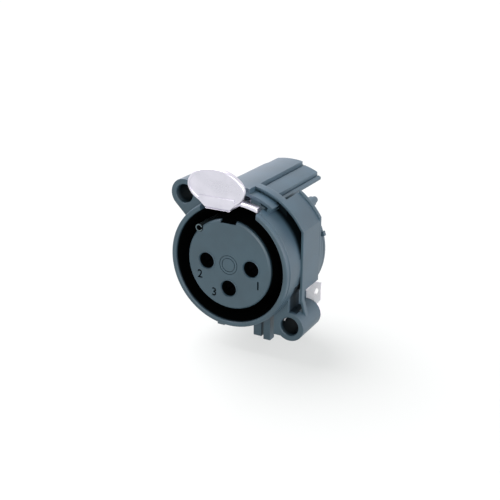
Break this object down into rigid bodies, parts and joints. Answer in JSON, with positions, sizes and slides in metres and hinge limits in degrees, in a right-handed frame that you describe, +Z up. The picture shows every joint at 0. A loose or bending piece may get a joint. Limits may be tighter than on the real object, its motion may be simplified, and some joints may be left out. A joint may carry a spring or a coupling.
{
  "type": "xlr panel socket",
  "caption": "Female audio panel socket with a round collar, push-tab latch, contact insert and ears for screws, fixed from behind the panel.",
  "frame": {"origin": "on the socket's axis, in the plane of the ears' front faces, which meet the back of the panel", "axes": "+X right seen from the front, +Y into the panel, along the way a plug goes in, +Z up"},
  "size_m": [0.0248, 0.0267, 0.032],
  "materials": {
    "housing_plastic": "fine satin moulding, blue-black",
    "insert_plastic": "fine satin moulding, slate",
    "cover_plastic": "fine satin moulding, blue-black",
    "latch_metal": "satin nickel plating on a zinc casting",
    "spring_steel": "bright rolled spring steel",
    "tinned_brass": "bright tin plating",
    "contact_metal": "silver plating on brass"
  },
  "bodies": {
    "socket": {"housing": "housing_plastic", "insert": "insert_plastic", "rear_cover": "cover_plastic", "contact_1": "contact_metal", "contact_2": "contact_metal", "contact_3": "contact_metal", "latch_spring": "spring_steel", "shell_earth_contact": "spring_steel", "panel_earth_clip": "tinned_brass"},
    "latch": {"latch_lever": "latch_metal"}
  },
  "joints": [
    {"name": "latch_hinge", "type": "hinge", "parent": "socket", "child": "latch", "pos_m": [0, 0.0012, 0.01025], "axis": [1, 0, 0], "range_deg": [0, 9.5], "stiffness_Nm_per_rad": 0.01, "springref_deg": -22.92, "deforming": ["latch_spring"]}
  ]
}
